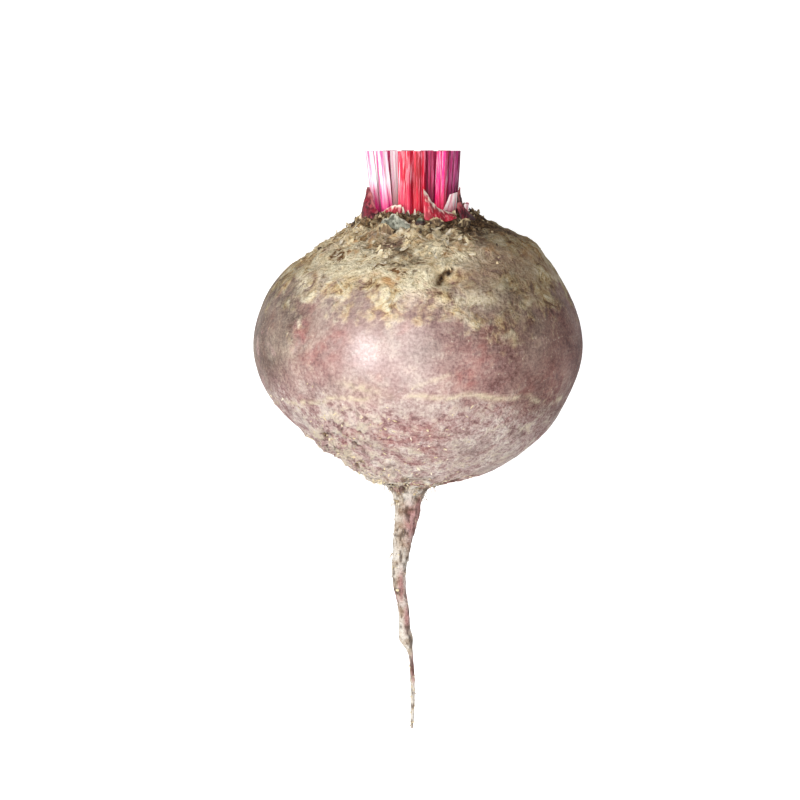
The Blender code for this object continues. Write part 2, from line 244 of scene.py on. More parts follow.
def root_rings():
    """Rings of the whole root from the tip up to the crown, with two angles for each point. The last
    rings of the globe are drawn in towards the taproot's line, so that the foot flows into it."""
    azimuth = np.arange(AROUND) * 2 * math.pi / AROUND
    even = np.linspace(0, 1, GLOBE_LEVELS)
    crowded = np.radians(JOINT_COLATITUDE) * (even - 0.055 * np.sin(2 * math.pi * even))
    colatitude, turn = np.meshgrid(crowded[:0:-1], azimuth, indexing="ij")
    globe = globe_surface(colatitude, turn)
    joining = smooth_step(np.degrees(colatitude), 150, JOINT_COLATITUDE)
    globe[..., 0] += TAPROOT[0, 1] * joining
    depth = np.linspace(1, 0, TAPROOT_LEVELS) ** 1.15
    top = -globe[0, :, 2].mean() + 0.45
    depth = top + depth * (TAPROOT[-1, 0] - top)
    sideways, droop, radius = taproot_line(depth)
    flare = np.exp(-((depth - top) / 1.3))
    radius = radius + flare * (np.hypot(globe[0, :, 0] - TAPROOT[0, 1], globe[0, :, 1]).mean() - radius)
    tap = np.stack((
        sideways[:, None] + radius[:, None] * np.cos(azimuth),
        droop[:, None] + radius[:, None] * np.sin(azimuth),
        np.repeat(-depth[:, None], AROUND, axis=1),
    ), axis=-1)
    tap_angles = np.full((TAPROOT_LEVELS, AROUND), np.radians(JOINT_COLATITUDE))
    return np.concatenate((tap, globe)), np.concatenate((tap_angles, colatitude)), azimuth


def laid(points):
    """Upright points in millimetres, as lying points in metres."""
    matrix = np.array(LYING)
    return points * MM @ matrix[:3, :3].T + matrix[:3, 3]


def pressed_flat(points):
    """The upright points with all that would sink into the table pressed flat, the edge rounded."""
    matrix = np.array(LYING)
    turn, middle = matrix[:3, :3], np.array(GLOBE_CENTRE)
    world_points = points @ turn.T + middle
    height = world_points[..., 2]
    eased = (height + SPOT_EDGE) ** 2 / (4 * SPOT_EDGE)
    flat = np.where(height < -SPOT_EDGE, 0, eased)
    world_points[..., 2] = np.where(height > SPOT_EDGE, height, flat)
    return (world_points - middle) @ turn


def outward(rings):
    """Unit directions pointing out of a grid of rings, square to its two tangents."""
    along = np.gradient(rings, axis=0)
    around = np.roll(rings, -1, axis=1) - np.roll(rings, 1, axis=1)
    normal = np.cross(around, along)
    return normal / np.linalg.norm(normal, axis=-1, keepdims=True).clip(1e-9)


def closed_surface(name, rings, material, masks=(), sharp=40):
    """An object whose surface runs through rings of points, counted (copies, levels, around, 3) from
    the lower end up, with a point in the middle of each end ring closing it. Masks is a mapping of
    names to one value for each point. Edges that turn by more than the sharp angle stay sharp."""
    rings = rings[None] if rings.ndim == 3 else rings
    copies, levels, around = rings.shape[:3]
    ends = rings[:, [0, -1]].mean(axis=2)
    points = np.concatenate((ends[:, :1], rings.reshape(copies, -1, 3), ends[:, 1:]), axis=1)
    first = np.arange(copies)[:, None, None] * points.shape[1]
    index = first + 1 + np.arange(levels * around).reshape(levels, around)
    after = np.roll(index, -1, axis=2)
    quads = np.stack((index[:, :-1], after[:, :-1], after[:, 1:], index[:, 1:]), axis=-1)
    low = np.broadcast_to(first[:, 0], (copies, around))
    high = low + points.shape[1] - 1
    fans = np.stack((
        np.stack((low, after[:, 0], index[:, 0]), axis=-1),
        np.stack((high, index[:, -1], after[:, -1]), axis=-1),
    ), axis=1)
    corners = np.concatenate((quads.ravel(), fans.ravel()))
    sizes = np.concatenate((np.full(quads.size // 4, 4), np.full(fans.size // 3, 3)))
    mesh = bpy.data.meshes.new(name)
    mesh.vertices.add(points.size // 3)
    mesh.vertices.foreach_set("co", laid(points).astype(np.float32).ravel())
    mesh.loops.add(len(corners))
    mesh.loops.foreach_set("vertex_index", corners.astype(np.int32))
    mesh.polygons.add(len(sizes))
    mesh.polygons.foreach_set("loop_start", (np.cumsum(sizes) - sizes).astype(np.int32))
    for mask, values in dict(masks).items():
        values = np.broadcast_to(values, (copies, levels, around))
        ends = values[:, [0, -1]].mean(axis=2)
        full = np.concatenate((ends[:, :1], values.reshape(copies, -1), ends[:, 1:]), axis=1)
        layer = mesh.attributes.new(mask, "FLOAT", "POINT")
        layer.data.foreach_set("value", full.astype(np.float32).ravel())
    mesh.update(calc_edges=True)
    mesh.validate()
    mesh.materials.append(material)
    mesh.shade_smooth()
    mesh.set_sharp_from_angle(angle=math.radians(sharp))
    thing = bpy.data.objects.new(name, mesh)
    bpy.context.scene.collection.objects.link(thing)
    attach(thing, "root")
    return thing


root_points, root_colatitude, root_azimuth = root_rings()
root_degrees = np.degrees(root_colatitude)
side_x, height_z = root_points[..., 0], root_points[..., 2]
on_taproot = np.arange(len(root_points))[:, None] < TAPROOT_LEVELS
front = smooth_step(-root_points[..., 1], -2, 6)


def spot(x, height, x_reach, height_reach, slant=0):
    """A soft spot of the root with its middle at a sideways place and a height, in millimetres. It
    fades as exp(-(distance / reach)^2) both ways. The slant, in degrees, raises its right end."""
    cosine, sine = math.cos(math.radians(slant)), math.sin(math.radians(slant))
    sideways, up = side_x - x, height_z - height
    along, across = sideways * cosine + up * sine, up * cosine - sideways * sine
    return np.exp(-((along / x_reach) ** 2) - (across / height_reach) ** 2)


def spots(*rows):
    """Soft spots on the front of the root, added up. Each row is a weight and what spot takes."""
    return front * sum(weight * spot(*place) for weight, *place in rows)


# Roughness of the crown, dents of the skin, wrinkles of the collar and rings of the taproot, all
# standing in or out of the smooth form by parts of a millimetre.
rough_crown = 1 - smooth_step(root_degrees + 7 * noise(root_points, 14, 1), 30, 58)
lower_half = smooth_step(root_degrees + 8 * noise(root_points, 10, 2), 96, 128)
collar = smooth_step(root_degrees, 148, 166) * np.exp(-((-height_z - 38).clip(0) / 5))
flakes = 0.3 - np.abs(layered_noise(root_points, 4.5, 3))
crags = layered_noise(root_points, 2.6, 9)
dents = noise(root_points, 17, 15) + 0.35 * noise(root_points, 6, 16)
grain = layered_noise(root_points, 1.6, 20, layers=3)
network = np.abs(noise(root_points, 3.1, 24)) + 0.6 * np.abs(noise(root_points, 1.7, 25))
tap_stretched = root_points * (1, 1, 0.45)
tap_rings = layered_noise(root_points * (0.35, 0.35, 1), 1.5, 30, layers=3)
tap_furrows = noise(tap_stretched, 1.3, 34)
gouge = spots((1, 6.8, 21.2, 3, 1.3, 47))
gouge_lip = spots((1, 2.2, 20.6, 2.2, 2.6, 47))
scars = spots((0.9, -5.2, 28, 4, 1.3, -20), (1, -6.5, 24.8, 3.6, 1.1, -15), (1, -12.5, 28.6, 3, 1.3, 10),
              (0.8, -1, 25.6, 4, 0.8, 8), (0.6, 24.4, 18.3, 1.6, 3.4, 20))
crusty = spots((1, -18, -16, 8, 6), (1.2, -19, -26, 8, 6), (1.2, -11, -32, 7, 3.5), (0.9, -25, -24, 5, 4),
               (0.6, -15, -8, 5, 2))
crusty = crusty * smooth_step(layered_noise(root_points, 4, 36), -0.5, 0.2)
smoother_right = 1 - 0.55 * smooth_step(side_x, 10, 24)
raised = (
    rough_crown * smoother_right * (0.95 * flakes + 0.75 * crags + 0.3 * grain)
    + (1 - rough_crown) * (0.22 * dents + 0.04 * grain)
    - lower_half * 0.22 * network.clip(0, 0.9)
    + crusty * (0.4 + crags)
    + collar * (0.54 * crags + 0.35 * flakes)
    - 1.1 * gouge + 0.5 * gouge_lip - 0.7 * scars * (1 + crags)
)
from_middle = root_points[..., :2] - root_points[..., :2].mean(axis=1, keepdims=True)
tap_thickness = np.linalg.norm(from_middle, axis=-1).clip(0, 3)
tap_raised = tap_thickness * (0.07 * tap_rings + 0.1 * tap_furrows) + 0.05 * grain
raised = np.where(on_taproot, tap_raised + 0.5 * raised * collar, raised)
root_shape = pressed_flat(root_points + outward(root_points) * raised[..., None])

# Where the tan crust reaches, with its cream, ochre and dark places, as masks from 0 to 1.
patchy = layered_noise(root_points, 12, 40)
blotches = layered_noise(root_points, 5, 50)
small_blotches = layered_noise(root_points, 2.2, 60)
flecks = small_blotches + 0.5 * blotches
right_reach = smooth_step(side_x, 8, 24) - 1.3 * smooth_step(side_x, 29, 41)
edge = root_degrees - 7 * right_reach + 9 * patchy + 8 * blotches + 5 * small_blotches
tan = 1 - smooth_step(edge, 40, 90)
cream = spots(
    (0.8, -30, 18.5, 3, 2.4, 50), (0.9, -22, 23.5, 5, 3, 25), (0.9, -16, 24, 7, 3), (0.9, -11, 21.5, 6, 2.8),
    (1, -1, 21.3, 5, 2.8), (1, 2, 18.8, 4, 2), (1, -16, 26.5, 7, 2.6), (1, 2, 26.5, 6, 2.2),
    (0.6, 10, 24.5, 4, 2), (0.7, 13, 15, 8, 2.4), (0.7, 9, 28, 8, 2.2, -8), (0.6, 6, 32, 5, 1.5),
)
behind = smooth_step(blotches + 0.4 * patchy, 0.05, 0.5) * swell(root_colatitude, 52, 12) * (1 - front)
cream = (cream + 0.7 * behind) * smooth_step(flecks, -0.8, 0.0)
ochre = spots((1, -15.5, 28.5, 6, 1.8), (1, -3, 19.6, 6, 1.8), (1, -10, 20, 5, 1.8), (0.8, 8, 18.6, 4, 2))
ochre = (ochre + 0.65 * swell(root_colatitude, 38, 9)) * smooth_step(blotches, -0.1, 0.45)
brown = spots((1, -5.2, 28, 5, 1.9, -20), (1, -6.5, 24.8, 4.2, 1.5, -15), (0.8, -12.5, 28.6, 4, 1.8),
              (0.7, -1, 25.6, 6, 1.1, 8), (1, 24.4, 18.3, 2.2, 4.2, 20))
brown = brown * smooth_step(small_blotches, -0.35, 0.2)
# Painted shade in the hollows of the rough crown: colour darkened where the crags are low.
hollow_shade = smooth_step(-(crags + 0.6 * small_blotches), 0.15, 0.8) * rough_crown
rim = 1 - smooth_step(root_degrees + 6 * small_blotches + 3 * crags, 20, 28)
# Painted shadow under the torn stub on the right, added to the dark rim below.
stub_shadow = 1.3 * np.exp(-(((root_points - (20, -5, 32)) / (10, 10, 4)) ** 2).sum(axis=-1))
stub_shadow = stub_shadow + spots((1, 13, 32.5, 7, 2.4, -20))
rim = rim + stub_shadow * smooth_step(flecks, -0.8, 0.1)
pit_depth = -relief(root_colatitude, np.broadcast_to(root_azimuth, root_degrees.shape)) * (1 - front)
pit_depth = pit_depth + 1.6 * gouge + spots((0.6, 4, 18, 1.4, 0.7, 70))
pits = smooth_step(pit_depth + 0.7 * small_blotches + 0.5 * crags, 0.6, 1.2) * (root_degrees < 75)
# In the crusty places the low spots of the crags are coloured dark, partly brown crust and partly painted
# shade.
crevice_shade = 0.75 * crusty * smooth_step(-(crags + 0.5 * small_blotches), 0.1, 0.6)
# The dark places: soil round the stalks, brown scars, pits darker the deeper they are, and the painted shade
# of hollows, crevices and the stub's shadow.
dark = (0.36 * hollow_shade + 0.85 * rim + 0.75 * brown).clip(0, 1)
dark = np.maximum(np.maximum(dark, pits), crevice_shade)

# The olive film, laid on thickest along the left rim where it is also painted shade, and painted shade on
# the right side; the rosy, dusty and rubbed places, and the pale streaks.
# An olive film on the skin, laid on most heavily along the left rim, where its darkening is also painted
# shade.
olive_film_and_shade = 1.2 * spot(-43, 6, 9, 16) + spots((0.9, -38, 10, 10, 12), (0.35, 23, 19, 9, 7), (0.5, 31, 8, 8, 8),
                                          (0.5, 14, 9, 9, 6))
olive_film_and_shade = olive_film_and_shade + smooth_step(patchy, 0.0, 0.5) * swell(root_colatitude, 62, 14) * (0.6 - 0.3 * front)
olive_film_and_shade = olive_film_and_shade * smooth_step(blotches, -0.9, -0.1)
# Painted shade: the skin is coloured darker towards the right side, most of all along its right rim.
right_side = smooth_step(side_x + 8 * patchy, 2, 36) * (1 - 0.85 * lower_half) + spot(42, -9, 11, 13)
right_side = right_side + spots((0.4, 24, 6, 6, 6), (0.6, 33, -12, 7, 5))
right_side = right_side * (1 - 0.35 * smooth_step(height_z, 10, 20) * smooth_step(side_x, 24, 34))
rose = 0.55 * smooth_step(layered_noise(root_points, 11, 70) + 0.4 * blotches, 0.1, 0.7)
rose = rose + 0.7 * spot(40, 12, 8, 12) + spots(
    (0.9, -27, 4, 9, 8), (1.1, 11, 11.3, 2.8, 2.2), (1.1, 11.8, -5.4, 4, 3.4), (1.5, 27.5, -11, 8, 4),
    (0.8, 17, 1, 4.5, 4), (1, -14, -21, 5, 4), (1, -1, -21, 9, 4), (0.9, -39, 9.7, 1, 4.4, -6),
    (0.6, 35, -9, 4, 6),
)
rose = rose * smooth_step(small_blotches, -0.6, 0.3)
dusty = 0.8 * smooth_step(layered_noise(root_points, 8, 80) + 0.4 * small_blotches, 0.0, 0.7)
dusty = dusty + spots((1, 0.2, 1.3, 4, 5), (0.5, 12, 15, 7, 4), (1.1, 31.5, 2, 2.3, 10),
                      (0.8, 15, -26, 11, 6), (0.7, -18, 13, 14, 5))
rubbed = 0.6 * smooth_step(layered_noise(root_points, 16, 85), 0.1, 0.6) * (1 - front)
rubbed = rubbed + spots((1, -14, 4, 15, 22))
streak_height = -9.6 - 0.0032 * side_x**2 + 1.3 * noise(root_points, 9, 90) + 0.3 * small_blotches
streaks = np.exp(-(((height_z - streak_height) / 0.6) ** 2)) * smooth_step(-root_points[..., 1], 4, 14)
streaks = streaks * smooth_step(noise(root_points, 6, 91), -0.4, 0.1)
streaks = streaks + spots((1, -15, -7.6, 4.5, 0.9, -12), (0.8, 3, -5.6, 5, 0.5, 20))
streaks = streaks * smooth_step(small_blotches, -0.8, 0.1)

# The scurf of the lower half, and the pale root end with its dark wrinkles and rosy places.
scurf = smooth_step(network.clip(0, 0.9), 0.42, 0.08) * lower_half * smooth_step(blotches, -0.5, 0.3)
scurf = np.maximum(0.8 * scurf, crusty * smooth_step(crags, -0.3, 0.3))
pale_foot = smooth_step(root_degrees + 4 * blotches + 3 * small_blotches, 147, 163)
pale_foot = np.where(on_taproot, 1, pale_foot)
spread = np.exp(-(((side_x + 3.5) / 9) ** 2)) * smooth_step(-height_z + 3 * blotches, 30.5, 35.5)
pale_foot = np.maximum(pale_foot, 0.85 * spread * smooth_step(small_blotches, -0.5, 0.0))
collar_net = smooth_step(network + 0.15 * small_blotches, 0.3, 0.1)
foot_dark = collar * smooth_step(-(crags + 0.4 * blotches), 0.1, 0.55)
foot_dark = np.maximum(foot_dark, 0.75 * spread * collar_net)
foot_dark = np.maximum(foot_dark, 0.35 * pale_foot * smooth_step(-tap_rings, 0.55, 0.95))
foot_rose = pale_foot * smooth_step(noise(tap_stretched, 5, 95) + 0.07 * (side_x + 2.5), 0.1, 0.5)
for mark in ((-1.6, -49, 2.2, 6), (-4.6, -67, 0.9, 4.5), (-2.9, -76, 0.9, 4)):
    foot_rose = foot_rose + 1.2 * spot(*mark) * on_taproot


def linear(red, green, blue):
    """A colour given in sRGB levels out of 255, in the linear light that shaders use."""
    level = np.array((red, green, blue)) / 255
    light = np.where(level <= 0.04045, level / 12.92, ((level + 0.055) / 1.055) ** 2.4)
    return (*light.tolist(), 1.0)


def node(tree, kind, inputs=(), **settings):
    """A new shader node. Each input is linked to a socket, or set to a number or to sRGB levels."""
    made = tree.nodes.new("ShaderNode" + kind)
    for name, value in settings.items():
        setattr(made, name, value)
    for name, value in dict(inputs).items():
        if isinstance(value, bpy.types.NodeSocket):
            tree.links.new(value, made.inputs[name])
        elif made.inputs[name].type == "RGBA":
            made.inputs[name].default_value = linear(*value)
        else:
            made.inputs[name].default_value = value
    return made


def computed(tree, operation, *values):
    """The result of a Math node."""
    return node(tree, "Math", enumerate(values), operation=operation).outputs[0]


def added(tree, *parts):
    """The sum of several values, each with its weight."""
    total = 0.0
    for value, weight in parts:
        total = computed(tree, "MULTIPLY_ADD", value, weight, total)
    return total


def times(tree, value, *factors):
    """A value times each of the factors."""
    for factor in factors:
        value = computed(tree, "MULTIPLY", value, factor)
    return value


def attribute(tree, name, *weights):
    """The value of one of the mesh's masks, times the weights."""
    return times(tree, node(tree, "Attribute", attribute_name=name).outputs["Fac"], *weights)


def mixed(tree, factor, first, second):
    """A colour between two colours."""
    inputs = {0: factor, 6: first, 7: second}
    return node(tree, "Mix", inputs, data_type="RGBA", clamp_factor=True).outputs[2]


def ranged(tree, value, low, high, to_low=0.0, to_high=1.0):
    """A value stretched smoothly from low..high to to_low..to_high."""
    inputs = {"Value": value, "From Min": low, "From Max": high, "To Min": to_low, "To Max": to_high}
    return node(tree, "MapRange", inputs, interpolation_type="SMOOTHSTEP").outputs[0]


def ramp(tree, value, *stops):
    """A colour that runs through several colours, each given as its place and its sRGB levels."""
    made = node(tree, "ValToRGB", {0: value})
    elements = made.color_ramp.elements
    while len(elements) < len(stops):
        elements.new(0.5)
    for element, (place, levels) in zip(elements, stops):
        element.position = place
        element.color = linear(*levels)
    return made.outputs[0]


def upright_coordinates(tree, scale):
    """Object coordinates turned upright and then stretched, one factor for each direction."""
    place = node(tree, "TexCoord").outputs["Object"]
    turned = node(tree, "Mapping", {"Vector": place, "Rotation": (math.pi / 2 - CROWN_RAISED, 0, 0)})
    return node(tree, "Mapping", {"Vector": turned.outputs[0], "Scale": scale}).outputs[0]


def noise_node(tree, scale, detail, roughness, distortion=0.0, vector=None):
    """The value of a Noise texture, on Object coordinates where no others are given."""
    vector = node(tree, "TexCoord").outputs["Object"] if vector is None else vector
    inputs = {"Vector": vector, "Scale": scale, "Detail": detail, "Roughness": roughness,
              "Distortion": distortion}
    return node(tree, "TexNoise", inputs).outputs["Fac"]


def cell_node(tree, scale):
    """The distance value of a Voronoi texture."""
    place = node(tree, "TexCoord").outputs["Object"]
    return node(tree, "TexVoronoi", {"Vector": place, "Scale": scale}).outputs["Distance"]


def painted(tree, shader, colour, height=None, distance=0.0003, strength=1.0):
    """Feeds the shader's colour, and its normal from a height, in metres of the given distance."""
    tree.links.new(colour, shader.inputs["Base Color"])
    if height is not None:
        bump = node(tree, "Bump", {"Height": height, "Distance": distance, "Strength": strength})
        tree.links.new(bump.outputs["Normal"], shader.inputs["Normal"])


def skin_material():
    """Dusty mauve skin in soft patches, darker and duller towards the sides as painted shade, with tan
    crust round the crown, fine scurf below and a pale taproot."""
    material, tree, shader = new_material("dusty_skin", 0.5, Coat_Roughness=0.34, Coat_IOR=1.95,
                                          Specular_IOR_Level=0.15)
    patches = noise_node(tree, 90, 3, 0.5)
    mottle = noise_node(tree, 300, 5, 0.62)
    grain = noise_node(tree, 1200, 4, 0.7)
    lumps, fibres = noise_node(tree, 210, 7, 0.66, 0.8), noise_node(tree, 520, 4, 0.62, 1.4)
    crust = computed(tree, "SUBTRACT", added(tree, (lumps, 1.2), (fibres, 0.3)), 0.25)
    scratch = noise_node(tree, 900, 3, 0.6, vector=upright_coordinates(tree, (0.12, 0.12, 1)))
    scratch = ranged(tree, scratch, 0.58, 0.68)
    speck = ranged(tree, cell_node(tree, 900), 0.26, 0.1)
    speck = times(tree, speck, ranged(tree, mottle, 0.46, 0.6))
    tone = added(tree, (patches, 0.4), (mottle, 0.3), (grain, 0.3))
    uneven = added(tree, (mottle, 0.72), (grain, 0.28))
    colour = ramp(tree, tone, (0.38, (118, 86, 84)), (0.46, (147, 114, 110)), (0.54, (167, 138, 131)),
                  (0.62, (190, 166, 155)))
    colour = mixed(tree, attribute(tree, "rubbed", 0.4), colour, (171, 138, 130))
    # Layers of skin: where each is, how strong at most, what its tone follows, and its tones.
    for mask, most, followed, *stops in (
        ("lower_half", 0.85, uneven, (0.39, (140, 100, 97)), (0.46, (188, 154, 149)),
         (0.54, (216, 193, 186)), (0.61, (240, 229, 219))),
        ("rose", 0.68, tone, (0.38, (136, 68, 66)), (0.5, (172, 106, 99)), (0.62, (194, 142, 130))),
        ("dusty", 0.5, tone, (0.38, (150, 134, 127)), (0.62, (202, 189, 176))),
        # The right side's layer is painted shade.
        ("right_side", 0.65, tone, (0.38, (80, 45, 38)), (0.62, (132, 94, 82))),
    ):
        colour = mixed(tree, attribute(tree, mask, most), colour, ramp(tree, followed, *stops))
    cork = ramp(tree, crust, (0.34, (112, 80, 50)), (0.41, (186, 152, 106)), (0.48, (220, 194, 146)),
                (0.56, (232, 214, 176)), (0.65, (246, 235, 205)))
    # A darker crust mixed in on the right side as painted shade.
    shaded_cork = ramp(tree, crust, (0.32, (62, 45, 35)), (0.43, (110, 88, 64)), (0.55, (148, 127, 94)),
                (0.67, (188, 168, 130)))
    cork = mixed(tree, ranged(tree, patches, 0.49, 0.66, 0, 0.5), cork, (198, 164, 152))
    cork = mixed(tree, attribute(tree, "right_side", 0.62), cork, shaded_cork)
    broken = added(tree, (mottle, 1.6), (attribute(tree, "tan"), 1.0))
    colour = mixed(tree, ranged(tree, broken, 0.95, 1.65, 0, 0.95), colour, cork)
    # The olive film's colour, which along the left rim also stands for painted shade.
    film_and_rim_shade = ramp(tree, tone, (0.38, (76, 66, 52)), (0.62, (132, 120, 98)))
    colour = mixed(tree, attribute(tree, "olive_film_and_shade", 0.62), colour, film_and_rim_shade)
    creamy = ramp(tree, grain, (0.36, (214, 194, 152)), (0.6, (246, 235, 206)))
    root_end = ramp(tree, mottle, (0.34, (160, 138, 116)), (0.46, (206, 190, 172)), (0.62, (236, 228, 216)))
    root_end = mixed(tree, attribute(tree, "foot_rose", 0.7), root_end, (178, 108, 112))
    # Dark colours for the dark places, soil and scars and also painted shade.
    dirt_and_shade = ramp(tree, grain, (0.36, (42, 30, 22)), (0.5, (88, 66, 46)), (0.66, (148, 118, 84)))
    below = attribute(tree, "lower_half")
    # What lies on skin and crust, one over the other: where each is, and its colour.
    for share, over in (
        (attribute(tree, "cream", ranged(tree, crust, 0.32, 0.45)), creamy),
        (attribute(tree, "ochre", ranged(tree, mottle, 0.42, 0.58, 0, 0.8)), (192, 140, 84)),
        (attribute(tree, "streaks", 0.85), (214, 198, 168)),
        (times(tree, scratch, ranged(tree, below, 0, 1, 0.1, 0.25)), (222, 204, 186)),
        (times(tree, speck, ranged(tree, below, 0, 1, 0.35, 0.75)), (226, 212, 194)),
        (attribute(tree, "scurf", ranged(tree, mottle, 0.42, 0.58)), (212, 196, 172)),
        (attribute(tree, "pale_foot"), root_end),
        (attribute(tree, "foot_dark"), (70, 52, 40)),
        (attribute(tree, "dark"), dirt_and_shade),
    ):
        colour = mixed(tree, share, colour, over)
    colour = mixed(tree, ranged(tree, grain, 0.36, 0.56), mixed(tree, 0.14, colour, (0, 0, 0)), colour)
    matt = computed(tree, "MAXIMUM", attribute(tree, "tan"), attribute(tree, "pale_foot"))
    rough = computed(tree, "ADD", ranged(tree, matt, 0, 1, 0.5, 0.85),
                     ranged(tree, mottle, 0.3, 0.7, 0, 0.1))
    tree.links.new(rough, shader.inputs["Roughness"])
    polish = added(tree, (attribute(tree, "rubbed"), 0.85), (ranged(tree, patches, 0.4, 0.6), 0.15))
    polish = times(tree, polish, ranged(tree, matt, 0, 0.9, 1, 0), ranged(tree, grain, 0.36, 0.6, 0.75, 1))
    tree.links.new(polish, shader.inputs["Coat Weight"])
    fine = added(tree, (mottle, 0.35), (grain, 0.3), (speck, 0.08))
    fine = times(tree, fine, ranged(tree, below, 0, 1, 1, 3.6),
                 ranged(tree, attribute(tree, "rubbed"), 0, 1, 1, 0.4))
    deep = added(tree, (crust, ranged(tree, attribute(tree, "tan"), 0, 1, 0, 2.5)),
                 (mottle, ranged(tree, attribute(tree, "pale_foot"), 0, 1, 0, 1)))
    painted(tree, shader, colour, computed(tree, "ADD", fine, deep), 0.0008)
    return material


root_masks = {
    "tan": tan, "cream": cream, "ochre": ochre, "dark": dark, "olive_film_and_shade": olive_film_and_shade, "right_side": right_side,
    "rose": rose, "dusty": dusty, "rubbed": rubbed, "streaks": streaks, "lower_half": lower_half,
    "scurf": scurf, "pale_foot": pale_foot, "foot_dark": foot_dark, "foot_rose": foot_rose,
}
root_masks = {name: mask.clip(0, 1) for name, mask in root_masks.items()}
root = closed_surface("beet_root", root_shape, skin_material(), root_masks, sharp=180)
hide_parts("root")


# The leaf stalks: fleshy ribbed stems that were trimmed by one straight cut. They stand in the
# crown, and each has a shallow groove on the side that faces the middle.
CUT_HEIGHT = 53
STALK_AROUND, STALK_LEVELS, CAP_RINGS = 96, 60, 7
RIBS, RIB_DEPTH, GROOVE_DEPTH = 6, 0.09, 0.4
FRONT_STALKS = (
    ((-10.9, -0.9), (-12.9, -0.9), 3.4, 2.6, "white_highlit_stalk"),
    ((-8.2, -5.2), (-9.9, -5.4), 3.5, 3.0, "white_highlit_stalk"),
    ((-5.6, -3.0), (-6.5, -3.2), 2.4, 2.2, "cream_lightened_stalk"),
    ((-3.6, -8.9), (-3.6, -9.2), 3.5, 2.9, "rosy_stalk"),
    ((0.2, -8.1), (0.1, -8.4), 3.6, 3.0, "red_stalk"),
    ((3.3, -5.0), (3.5, -5.2), 2.9, 2.7, "maroon_shaded_stalk"),
    ((5.8, -7.0), (6.5, -7.2), 2.9, 2.7, "pink_stalk"),
    ((8.8, -2.4), (9.7, -2.5), 3.1, 2.9, "purple_shaded_stalk"),
)
BACK_AZIMUTHS, BACK_RADIUS, BACK_WIDTH = (18, 47, 76, 105, 134, 160), 9.6, 3.4
BACK_FINISHES = ("purple_shaded_stalk", "red_stalk", "pink_stalk", "red_stalk", "pink_stalk", "cream_lightened_stalk")
HEART_AZIMUTHS, HEART_RADIUS, HEART_WIDTH = (-60, 60, 180), 2.3, 2.0
OUTWARD_LEAN = 1.1
SUNK = 0.7  # how far a foot stands in the crown
PATTERN_RISE = 0.374  # how far the streaks' noise moves on from foot to cut
# Deep streaks, main colour, light streaks, foot, and a place in the pattern, for each kind of stalk.
# The light streaks are partly pale stripes and partly painted glints along the ribs.
STALK_COLOURS = {
    # White: the stalk's white streaks are partly painted highlight, washed out by strong light; the magenta
    # foot is its own colour.
    "white_highlit_stalk": ((232, 60, 146), (250, 226, 236), (255, 252, 253), (234, 16, 126), 0.0),
    # Cream: made lighter than the white stalks so that it stays bright in the shadow of the stalks in front,
    # painted light.
    "cream_lightened_stalk": ((246, 190, 208), (251, 236, 236), (255, 250, 246), (240, 196, 190), 2.2),
    "rosy_stalk": ((206, 2, 44), (230, 34, 78), (252, 206, 216), (228, 60, 92), 4.4),
    "red_stalk": ((160, 0, 24), (220, 8, 50), (246, 138, 162), (212, 20, 52), 3.1),
    # Maroon: a darker copy for a stalk that stands behind others, partly painted shade, darkest at its foot.
    "maroon_shaded_stalk": ((122, 0, 44), (188, 8, 84), (218, 98, 146), (84, 1, 26), 5.7),
    "pink_stalk": ((206, 0, 84), (240, 14, 130), (252, 196, 220), (214, 2, 66), 8.3),
    # Purple: a darker copy for stalks at the right and behind, partly painted shade, darkest at its foot.
    "purple_shaded_stalk": ((104, 0, 50), (176, 18, 104), (216, 132, 178), (104, 1, 40), 11.9),
}


def streaked_group():
    """A node group shared by all the stalks: streaks in three colours, from noise that is read on a
    circle round the stem, so that it meets behind, and that changes slowly along it."""
    group = bpy.data.node_groups.new("streaks_along", "ShaderNodeTree")
    for way, kind, names in (("INPUT", "Color", ("Deep", "Main", "Light")), ("INPUT", "Float", ("Offset",)),
                             ("OUTPUT", "Color", ("Color",)), ("OUTPUT", "Float", ("Height",))):
        for name in names:
            group.interface.new_socket(name, in_out=way, socket_type="NodeSocket" + kind)
    taken = group.nodes.new("NodeGroupInput").outputs
    given = group.nodes.new("NodeGroupOutput").inputs
    x, y = attribute(group, "ring_x"), attribute(group, "ring_y")
    along = computed(group, "ADD", attribute(group, "along"), taken["Offset"])
    place = node(group, "CombineXYZ", {0: x, 1: y, 2: along})
    broad = noise_node(group, 2.3, 2, 0.5, vector=place.outputs[0])
    narrow = noise_node(group, 7, 3, 0.6, vector=place.outputs[0])
    colour = mixed(group, ranged(group, broad, 0.42, 0.56), taken["Deep"], taken["Main"])
    colour = mixed(group, ranged(group, narrow, 0.51, 0.65), colour, taken["Light"])
    group.links.new(colour, given["Color"])
    group.links.new(narrow, given["Height"])
    return group


STREAKS = streaked_group()


def stalk_material(name, deep, main, light, base, offset):
    """Fleshy stem with a satin surface, darker and redder towards its foot, and a pale cut face with
    a ring of darker strands."""
    material, tree, shader = new_material(
        name, 0.4, Subsurface_Weight=0.1, Subsurface_Radius=(0.0025, 0.0008, 0.0009), Subsurface_Scale=1.0,
        Specular_IOR_Level=0.35, Coat_Weight=0.06,
    )
    inputs = {"Deep": deep, "Main": main, "Light": light, "Offset": offset}
    streaks = node(tree, "Group", inputs, node_tree=STREAKS)
    colour = mixed(tree, attribute(tree, "foot"), streaks.outputs["Color"], base)
    face = mixed(tree, ranged(tree, cell_node(tree, 1500), 0.16, 0.34), (150, 30, 66), (226, 150, 160))
    colour = mixed(tree, attribute(tree, "cut"), colour, face)
    painted(tree, shader, colour, streaks.outputs["Height"], 0.00025, 0.6)
    return material


